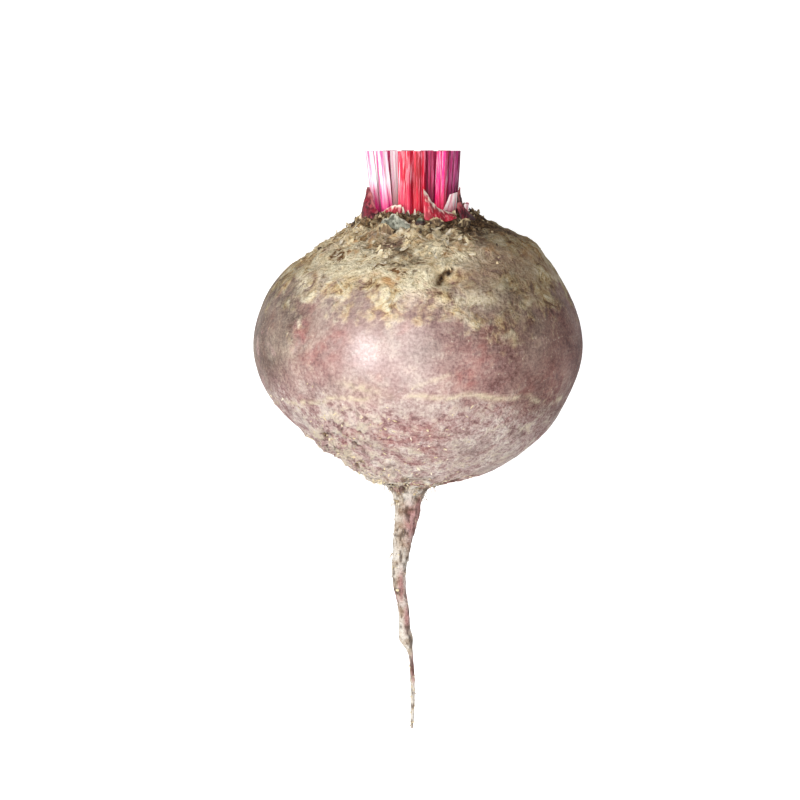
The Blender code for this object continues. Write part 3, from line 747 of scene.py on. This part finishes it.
def stalk_rings(foot, top, width, thickness, height=None, taper=1.0, seed=0):
    """Rings of a stem from its foot to its cut. The section is an oval, widened and drawn in by ribs,
    and hollowed on the inner side. Closing rings draw in over the cut face."""
    foot, top = np.array(foot), np.array(top)
    outwards = foot / np.linalg.norm(foot)
    across = np.array((-outwards[1], outwards[0]))
    share = np.linspace(0, 1, STALK_LEVELS)
    angle = np.arange(STALK_AROUND) * 2 * math.pi / STALK_AROUND
    rib = 1 + RIB_DEPTH * np.cos(RIBS * (angle - math.pi / 2)) + 0.02 * np.cos(19 * angle + seed)
    inward = (np.degrees(angle) - 270) / 35
    groove = 1 - GROOVE_DEPTH * np.exp(-(inward**2))
    flare = (1 + 0.12 * np.exp(-share / 0.12)) * (1 + (taper - 1) * share)
    middle = foot + (top - foot) * share[:, None]
    u = flare[:, None] * width / 2 * rib * np.cos(angle)
    v = flare[:, None] * thickness / 2 * rib * groove * np.sin(angle)
    place = middle[:, None] + u[..., None] * across + v[..., None] * outwards
    standing = crown_height(place[..., 0], place[..., 1]) - SUNK
    if height is None:
        end = np.full_like(standing, CUT_HEIGHT)
    else:
        end = standing + SUNK + height + 0.2 * u
    rings = np.concatenate((place, (standing + (end - standing) * share[:, None])[..., None]), axis=-1)
    wander = noise(rings * (1, 1, 0.3), 2.4, seed) * np.sin(math.pi * share)[:, None]
    rings[..., :2] += 0.1 * wander[..., None] * (place - middle[:, None])
    inside = 0.985 - np.linspace(0, 0.94, CAP_RINGS) ** 1.2
    centre = rings[-1].mean(axis=0)
    cap = centre + (rings[-1] - centre) * inside[:, None, None]
    dip = 0.16 * noise(cap, 0.9, seed + 5) - 0.12 * np.sin(math.pi * inside)[:, None]
    cap[..., 2] = cap[..., 2] + dip.clip(-0.4, 0)
    rings = np.concatenate((rings, cap))
    up_and_over = np.concatenate((share, np.ones(CAP_RINGS)))[:, None]
    cut = np.arange(len(rings))[:, None] >= STALK_LEVELS
    foot_mask = (0.9 - 0.9 * smooth_step(up_and_over, 0.12, 0.6)) * ~cut
    return rings, {"cut": cut, "foot": foot_mask, "ring_x": np.cos(angle), "ring_y": np.sin(angle),
                   "along": PATTERN_RISE * up_and_over}


stalk_finishes = {name: stalk_material(name, *colours) for name, colours in STALK_COLOURS.items()}
stalk_places = list(FRONT_STALKS)
for azimuths, radius, width, finishes in (
    (BACK_AZIMUTHS, BACK_RADIUS, BACK_WIDTH, BACK_FINISHES),
    (HEART_AZIMUTHS, HEART_RADIUS, HEART_WIDTH, ("pink_stalk",) * 3),
):
    for azimuth, finish in zip(azimuths, finishes):
        direction = np.array((math.cos(math.radians(azimuth)), math.sin(math.radians(azimuth))))
        outer = direction * (radius + OUTWARD_LEAN)
        stalk_places.append((direction * radius, outer, width, width * 0.85, finish))
for number, (foot, top, width, thickness, finish) in enumerate(stalk_places, 1):
    rings, masks = stalk_rings(foot, top, width, thickness, seed=number)
    stalk = closed_surface(f"leaf_stalk_{number:02d}", rings, stalk_finishes[finish], masks)
    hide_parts(f"stalk_{number:02d}")


# Two short stalks at the right that were torn off, with pale torn flesh. They grow like the others and
# end in a rough slanted face.
STUBS = (
    ("stub_right", (7.9, -8.8), (9.5, -8.8), 5.0, 1.8, 5.9, 0.5),
    ("stub_small", (12.3, -7.4), (13.1, -7.6), 1.8, 1.6, 3.2, 0.8),
)
torn_flesh = stalk_material("torn_flesh", (228, 150, 166), (248, 226, 224), (255, 248, 245),
                            (206, 62, 100), 14.2)
for number, (name, foot, top, width, thickness, height, taper) in enumerate(STUBS):
    rings, masks = stalk_rings(foot, top, width, thickness, height, taper, seed=40 + number)
    stub = closed_surface(f"torn_{name}", rings, torn_flesh, masks)
    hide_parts(name)


# The dried leaf bases: thin curved scales of old leaf, standing round the rim of the crown. Their
# upper edges are torn.
LEAF_BASES = (
    ("sheath_left", -157, 34, 15.8, -1.5, (0.8, 3.2, 10.5, 3.4, 1.0), "maroon_husk"),
    ("sheath_right", -10, 30, 12.0, -0.4, (5.2, 7.2, 6.2, 4.4, 2.2), "maroon_husk"),
    ("sheath_edge", -39, 22, 17.4, -1.6, (2.6, 4.0, 3.4, 1.8, 0.6), "maroon_husk"),
    ("base_front", -69, 32, 17.2, -2.2, (8.4, 4.6, 3.0, 2.0, 1.0), "pink_husk"),
    ("base_left", -128, 34, 12.4, 0.3, (0.8, 1.8, 3.3, 3.1), "pink_husk"),
    ("scale_front", -110, 26, 18.8, -1.4, (2.0, 1.4, 3.3, 2.5, 2.0, 0.7), "grey_husk"),
    ("scale_low", -114, 12, 20.9, 0.5, (0.8, 2.1, 0.9), "brown_husk"),
    ("scale_right", -75, 12, 18.6, 0.6, (0.9, 1.8, 0.8), "brown_husk"),
    ("scale_edge", -53, 12, 20.2, 0.6, (0.8, 1.7, 0.9), "brown_husk"),
)
BACK_SCALES, BACK_SCALE_RADIUS = 7, 13.4
HUSK_THICKNESS = 0.8
HUSK_ACROSS, HUSK_UP = 64, 30
# Hollows between the veins, the leaf itself, its veins, its torn edge, and the roughness.
HUSK_COLOURS = {
    # Maroon: dried leaf made darker still as painted shade, for the sheaths standing in shade at the crown's
    # sides.
    "maroon_husk": ((58, 4, 16), (138, 12, 42), (172, 66, 78), (176, 96, 98), 0.6),
    "brown_husk": ((58, 42, 30), (120, 96, 70), (176, 154, 118), (188, 168, 130), 0.85),
    "pink_husk": ((150, 4, 32), (204, 34, 62), (232, 142, 148), (246, 226, 208), 0.5),
    "grey_husk": ((84, 84, 72), (158, 158, 142), (196, 196, 178), (226, 222, 200), 0.85),
}


def husk_material(name, deep, main, pale, edge, roughness):
    """Dry leaf tissue with fine veins running up it and a paler torn edge."""
    material, tree, shader = new_material(name, roughness)
    mottle = noise_node(tree, 420, 4, 0.6)
    veins = noise_node(tree, 1500, 3, 0.55, vector=upright_coordinates(tree, (1, 1, 0.22)))
    colour = mixed(tree, ranged(tree, mottle, 0.42, 0.64), deep, main)
    colour = mixed(tree, ranged(tree, veins, 0.5, 0.68, 0, 0.8), colour, pale)
    colour = mixed(tree, attribute(tree, "torn"), colour, edge)
    painted(tree, shader, colour, computed(tree, "ADD", veins, mottle))
    return material


def husk_rings(azimuth, span, radius, lean, edge, torn_by, seed):
    """A curved scale, as loops that each run up its outer side and down its inner side, one after
    another across it. The height of the torn edge follows the named heights with small teeth."""
    across = np.linspace(-1, 1, HUSK_ACROSS)
    up = np.concatenate((np.linspace(0, 1, HUSK_UP), np.linspace(1, 0, HUSK_UP)))
    side = np.concatenate((np.ones(HUSK_UP), -np.ones(HUSK_UP)))
    across, up_grid = across[:, None], up[None]
    angle = np.radians(azimuth + across * span / 2)
    arc = radius * np.radians(across * span / 2)
    foot = radius - HUSK_THICKNESS
    standing = crown_height(foot * np.cos(angle), foot * np.sin(angle))
    teeth = layered_noise(np.concatenate((arc, arc * 0 + seed, arc * 0), axis=1), 1.8, seed)[:, None]
    rise = np.interp(across[:, 0], np.linspace(-1, 1, len(edge)), edge)
    rise = np.convolve(np.pad(rise, 4, mode="edge"), np.ones(9) / 9, mode="valid")[:, None]
    rise = rise * (1 + torn_by * teeth)
    height = standing - 0.5 + (rise + 0.5) * up_grid
    thin = 0.5 * HUSK_THICKNESS * (1 - 0.7 * up_grid**2) * np.sqrt((1 - across**6).clip(0.04))
    place = np.stack((arc + 0 * height, height * 0.5, np.full(height.shape, seed)), axis=-1)
    crumple = 0.55 * noise(place, 1.3, seed + 1) * up_grid
    distance = radius + lean * up_grid**2 + crumple + side * thin
    rings = np.stack((distance * np.cos(angle), distance * np.sin(angle), height), axis=-1)
    torn = smooth_step(up_grid + 0.25 * noise(place, 0.7, seed + 2), 0.72, 1.0)
    return rings[::-1], {"torn": torn[::-1]}


husk_finishes = {name: husk_material(name, *colours) for name, colours in HUSK_COLOURS.items()}
leaf_bases = list(LEAF_BASES)
draw = random.Random(7)
for number in range(BACK_SCALES):
    edge = [draw.uniform(1.2, 4.5) for _ in range(4)]
    span = draw.uniform(14, 19)
    radius = BACK_SCALE_RADIUS + draw.uniform(-0.3, 0.6)
    finish = ("brown_husk", "maroon_husk", "pink_husk")[number % 3]
    azimuth = 22 + number * 136 / (BACK_SCALES - 1)
    leaf_bases.append((f"scale_back_{number + 1}", azimuth, span, radius, 0.5, edge, finish))
for number, (name, azimuth, span, radius, lean, edge, finish) in enumerate(leaf_bases):
    torn_by = 0.07 if finish == "pink_husk" else 0.22
    rings, masks = husk_rings(azimuth, span, radius, lean, edge, torn_by, 60 + number)
    husk = closed_surface(f"dry_{name}", rings, husk_finishes[finish], masks, sharp=60)
    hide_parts(name)


# The side bud under the front stalks: a small dark ribbed egg with a green tip. It grew on the crown
# and is closed, its foot sunk a little in the cork.
BUD_PLACE, BUD_RADIUS, BUD_LENGTH = (0.5, -18.1), 1.6, 2.6
BUD_AROUND, BUD_LEVELS = 48, 30


def bud_material():
    """Dark maroon scales that turn dull green towards the tip."""
    material, tree, shader = new_material("dark_bud", 0.6)
    mottle = noise_node(tree, 900, 4, 0.6)
    low = mixed(tree, ranged(tree, mottle, 0.38, 0.62), (38, 22, 20), (92, 60, 48))
    high = mixed(tree, ranged(tree, mottle, 0.38, 0.62), (74, 92, 70), (150, 160, 128))
    painted(tree, shader, mixed(tree, attribute(tree, "tip"), low, high), mottle)
    return material


def bud_rings():
    """An egg with six ribs, narrower towards its tip. Where it would sink in the crown it is cut off."""
    turn, level = np.meshgrid(
        np.arange(BUD_AROUND) * 2 * math.pi / BUD_AROUND,
        np.linspace(-0.97, 0.99, BUD_LEVELS),
    )
    rib = 1 + 0.08 * np.cos(6 * turn) + 0.05 * np.sin(5 * level + 3 * turn)
    width = BUD_RADIUS * np.sqrt(1 - level**2) * rib * (1 - 0.45 * level.clip(0))
    x = BUD_PLACE[0] + 0.8 * width * np.cos(turn)
    y = BUD_PLACE[1] + 0.5 * width * np.sin(turn)
    lowest = crown_height(np.array(BUD_PLACE[0]), np.array(BUD_PLACE[1] - BUD_RADIUS))
    z = lowest + BUD_LENGTH / 2 * (level + 1)
    z = np.maximum(z, crown_height(x, y) - 0.3)
    return np.stack((x, y, z), axis=-1), {"tip": smooth_step(level, 0.1, 0.7)}


rings, masks = bud_rings()
bud = closed_surface("side_bud", rings, bud_material(), masks)
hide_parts("bud")


# Dry flakes: what is left of older leaves, thin curled bits that cling all round the rim. Some at the
# front are pale tips.
FLAKES = 170
FLAKE_ACROSS, FLAKE_UP = 5, 4
FLAKE_WIDTHS, FLAKE_HEIGHTS, FLAKE_THICKNESS = (0.7, 3.0), (0.5, 1.9), 0.22
PALE_TIPS = ((-3.9, -11.0), (-2.7, -11.4), (-6.7, -9.0), (-0.7, -10.9), (0.3, -11.2), (3.0, -8.6))


def dry_material(name, roughness, mottle_scale, detail, fineness, unevenness, darkest, steps, bump=0):
    """Dry bits with one tone for each and a finer mottle over it. The tone runs from the darkest
    colour through the steps, each with the tones where it starts and is full, and its colour."""
    material, tree, shader = new_material(name, roughness)
    mottle = noise_node(tree, mottle_scale, detail, fineness)
    mottled = ranged(tree, mottle, 0.3, 0.7, -unevenness, unevenness)
    tone = computed(tree, "ADD", attribute(tree, "tone"), mottled)
    colour = darkest
    for start, full, levels in steps:
        colour = mixed(tree, ranged(tree, tone, start, full), colour, levels)
    painted(tree, shader, colour, mottle if bump else None, bump)
    return material


dry_flake = dry_material("dry_flake", 0.88, 1100, 4, 0.65, 0.25, (48, 34, 26), (
    (0.0, 0.55, (142, 116, 84)),
    (0.5, 0.95, (218, 200, 162)),
    (1.0, 1.35, (240, 229, 210)),
), bump=0.0003)


def flake_rings():
    """Thin tongues as loops that run up one side and down the other, one after another across each.
    Each stands on the crown, leans, narrows upwards and is curled by noise."""
    chance = np.random.default_rng(11)
    azimuth = chance.uniform(0, 2 * math.pi, FLAKES)
    radius = chance.uniform(11.6, 19.5, FLAKES)
    width, tall = chance.uniform(*FLAKE_WIDTHS, FLAKES), chance.uniform(*FLAKE_HEIGHTS, FLAKES)
    yaw, lean = chance.uniform(-0.6, 0.6, FLAKES), chance.uniform(-0.5, 1.2, FLAKES)
    tone = chance.uniform(0, 1, FLAKES) ** 1.2
    x, y = radius * np.cos(azimuth), radius * np.sin(azimuth)
    pale = slice(0, len(PALE_TIPS))
    x[pale], y[pale] = np.array(PALE_TIPS).T
    azimuth[pale] = np.arctan2(y[pale], x[pale])
    width[pale], tall[pale], lean[pale], tone[pale] = 1.3, 2.2, 0.15, 1.5
    base = np.stack((x, y, crown_height(x, y) - 0.35), axis=-1)
    facing = azimuth + yaw
    normal = np.stack((np.cos(facing), np.sin(facing), 0 * facing), axis=-1)
    sideways = np.stack((-np.sin(facing), np.cos(facing), 0 * facing), axis=-1)
    upright = np.array((0, 0, 1)) * np.cos(lean)[:, None] + normal * np.sin(lean)[:, None]
    normal = np.cross(sideways, upright)
    across = np.linspace(1, -1, FLAKE_ACROSS)[None, :, None]
    up = np.concatenate((np.linspace(0, 1, FLAKE_UP), np.linspace(1, 0, FLAKE_UP)))[None, None]
    side = np.concatenate((np.ones(FLAKE_UP), -np.ones(FLAKE_UP)))[None, None]
    width, tall, tone = (values[:, None, None] for values in (width, tall, tone))
    spread = across * width / 2 * (1 - 0.55 * up**1.5)
    rise = up * tall * (1 - 0.35 * across**2)
    place = np.stack(np.broadcast_arrays(spread, rise, azimuth[:, None, None] * 40), axis=-1)
    rise = rise + up * tall * 0.4 * noise(place, 0.8, 5)
    curl = 0.4 * noise(place, 1.4, 6) * up + 0.12 * across**2 * width
    out = curl + side * FLAKE_THICKNESS / 2 * np.sqrt(1.02 - across**2)
    rings = sum(length[..., None] * way[:, None, None] for length, way in (
        (spread, sideways), (rise, upright), (out, normal)))
    return base[:, None, None] + rings, {"tone": tone}


rings, masks = flake_rings()
flake_pieces = closed_surface("dry_flakes", rings, dry_flake, masks, sharp=60)


# Loose crust: thin chips of dried skin on the corky shoulder, at the rough places further down and on
# the collar. Each lies flat on the root and is lifted at one edge.
CHIPS = 1100
CHIP_LENGTHS, CHIP_SHAPES, LOW_CHIPS_SHORTER = (0.5, 1.9), (0.22, 0.6), 0.6
CHIP_AROUND, CHIP_SHARES, CHIP_SIDES = 8, (0.5, 1.0, 1.0, 0.5), (-1, -0.4, 0.4, 1)
LOWEST_CHIP = 3  # millimetres over the table


def crust_chips():
    """Chips as rings of a flat lens, drawn out of round, laid on points of the root that are picked
    by chance, the rougher the place the more often. The chips of the crown point downhill, and the
    smaller ones below lie any way."""
    chance = np.random.default_rng(57)
    worn = rough_crown * smooth_step(root_degrees, 17, 26) * (0.35 + front)
    worn = worn + 0.8 * crusty * smooth_step(-height_z, 11, 15)
    worn = worn + 1.1 * np.where(on_taproot, 0, collar) + 0.14 * lower_half
    worn = worn * (1 - smooth_step(side_x, 8, 19)) * (laid(root_shape)[..., 2] > LOWEST_CHIP * MM)
    weight = (worn * np.hypot(root_points[..., 0], root_points[..., 1])).ravel()
    place = chance.choice(weight.size, CHIPS, p=weight / weight.sum())
    start = root_shape.reshape(-1, 3)[place]
    out = outward(root_shape).reshape(-1, 3)[place]
    low = smooth_step(1 - rough_crown.ravel()[place], 0.5, 0.9)
    downhill = math.pi / 2 + 0.55 * chance.normal(size=(CHIPS, 1))
    turn = np.where(low[:, None] > 0.5, chance.uniform(0, 2 * math.pi, (CHIPS, 1)), downhill)
    level = np.cross(out, (0, 0, 1.0))
    level = level / np.linalg.norm(level, axis=-1, keepdims=True)
    length_way = np.cos(turn) * level + np.sin(turn) * np.cross(out, level)
    width_way = np.cross(out, length_way)
    length = chance.uniform(*CHIP_LENGTHS, CHIPS) * (1 - LOW_CHIPS_SHORTER * low)
    width = length * chance.uniform(*CHIP_SHAPES, CHIPS)
    corner = (np.arange(CHIP_AROUND) * 2 * math.pi / CHIP_AROUND)[None, None]
    uneven = chance.uniform(0.65, 1.2, (CHIPS, 1, CHIP_AROUND))
    share = np.array(CHIP_SHARES)[None, :, None] * uneven
    u = np.cos(corner) * share * length[:, None, None]
    v = np.sin(corner) * share * width[:, None, None]
    tilt, curl = chance.uniform(0.05, 0.35, CHIPS), chance.uniform(0, 0.3, CHIPS)
    lift = tilt[:, None, None] * u + curl[:, None, None] * u**2
    raised_by = lift + 0.07 * np.array(CHIP_SIDES)[None, :, None] + 0.05
    rings = sum(length[..., None] * way[:, None, None] for length, way in (
        (u, length_way), (v, width_way), (raised_by, out)))
    # A chip's tone follows the skin under it, darker over the dark places and on the right side, so it takes
    # on their painted shade.
    tone = 0.92 + 0.35 * cream - 0.5 * dark - 0.3 * right_side
    tone = (tone.ravel()[place] + chance.uniform(-0.35, 0.3, CHIPS)).clip(0, 1.15)
    tone = tone + low * (chance.uniform(0.8, 1.25, CHIPS) - tone)
    return (start[:, None, None] + rings)[..., ::-1, :], {"tone": tone[:, None, None]}


rings, masks = crust_chips()
chips = closed_surface("crust_chips", rings, dry_flake, masks, sharp=60)


# Fine rootlets: dead hair roots that grow out of the collar and the taproot, dry and thin as threads.
# They are tubes that taper to their tips.
ROOTLETS = 80
ROOTLET_LEVELS, ROOTLET_AROUND = 9, 5
ROOTLET_LENGTHS, ROOTLET_RADIUS, TIP_RADIUS = (0.6, 2.6), 0.11, 0.04


def rootlet_material():
    """Dry straw-brown skin, darker in places."""
    material, tree, shader = new_material("dry_rootlet", 0.85)
    darker = ranged(tree, noise_node(tree, 800, 3, 0.6), 0.35, 0.65)
    painted(tree, shader, mixed(tree, darker, (110, 84, 60), (206, 188, 160)))
    return material


def tube_rings(path, radius, around):
    """Rings square to each of several paths, counted (copies, levels, 3), with a radius at each level."""
    along = np.gradient(path, axis=1)
    along = along / np.linalg.norm(along, axis=-1, keepdims=True)
    first = np.cross(along, np.array((0.31, 0.52, 0.79)))
    first = first / np.linalg.norm(first, axis=-1, keepdims=True)
    second = np.cross(along, first)
    turn = (np.arange(around) * 2 * math.pi / around)[:, None]
    ring = np.cos(turn) * first[..., None, :] + np.sin(turn) * second[..., None, :]
    return path[..., None, :] + radius[..., None, None] * ring


def rootlet_paths():
    """Paths that leave the root square to it, bend down and wander, each starting just inside."""
    chance = np.random.default_rng(23)
    level = np.where(
        chance.uniform(size=ROOTLETS) < 0.6,
        chance.integers(8, TAPROOT_LEVELS - 2, ROOTLETS),
        chance.integers(TAPROOT_LEVELS - 8, TAPROOT_LEVELS + 3, ROOTLETS),
    )
    column = chance.integers(0, AROUND, ROOTLETS)
    start = root_shape[level, column]
    out = outward(root_shape)[level, column]
    length = chance.uniform(*ROOTLET_LENGTHS, ROOTLETS) * np.where(level < 30, 0.5, 1)
    share = np.linspace(0, 1, ROOTLET_LEVELS)[None, :, None]
    down = np.array((0, 0.05, -0.9))
    bend = share * out[:, None] * 0.6 + share**2 * down
    path = start[:, None] - 0.15 * out[:, None] + length[:, None, None] * bend
    wander = np.stack([noise(path, 1.3, seed) for seed in (41, 42, 43)], axis=-1)
    radius = ROOTLET_RADIUS + (TIP_RADIUS - ROOTLET_RADIUS) * share[..., 0]
    return path + 0.5 * share * wander, radius * np.ones((ROOTLETS, 1))


rootlets = closed_surface("rootlets", tube_rings(*rootlet_paths(), ROOTLET_AROUND), rootlet_material())


# Crumbs of dry soil that stick in the cork round the crown and on the collar, each a small lump that is
# half sunk.
CRUMBS = 170
CRUMB_LEVELS, CRUMB_AROUND = 5, 7
CRUMB_RADII = (0.18, 0.55)


def crumb_rings():
    """Small lumps: rings of a ball, drawn out of round by noise, half sunk where they stick."""
    chance = np.random.default_rng(31)
    share = chance.uniform(size=CRUMBS)
    crown_level = chance.integers(len(root_shape) - 70, len(root_shape) - 24, CRUMBS)
    collar_level = chance.integers(TAPROOT_LEVELS - 8, TAPROOT_LEVELS + 34, CRUMBS)
    level = np.where(share < 0.7, crown_level, collar_level)
    middle = root_shape[level, chance.integers(0, AROUND, CRUMBS)]
    size = chance.uniform(*CRUMB_RADII, CRUMBS)
    tilt = np.linspace(-0.92, 0.92, CRUMB_LEVELS)[:, None]
    turn = (np.arange(CRUMB_AROUND) * 2 * math.pi / CRUMB_AROUND)[None]
    flat = np.sqrt(1 - tilt**2)
    ball = np.stack((flat * np.cos(turn), flat * np.sin(turn), tilt + 0 * turn), axis=-1)
    lumps = ball[None] * size[:, None, None, None] * chance.uniform(0.7, 1.2, (CRUMBS, 1, 1, 3))
    rings = middle[:, None, None] + lumps
    lumpy = 1 + 0.5 * noise(rings, 0.5, 8)[..., None]
    return middle[:, None, None] + lumps * lumpy, {"tone": chance.uniform(0, 1, CRUMBS)[:, None, None]}


dry_soil = dry_material("dry_soil", 0.95, 1500, 3, 0.6, 0.2, (58, 42, 30), ((0, 1, (196, 176, 140)),))
rings, masks = crumb_rings()
crumbs = closed_surface("soil_crumbs", rings, dry_soil, masks, sharp=60)
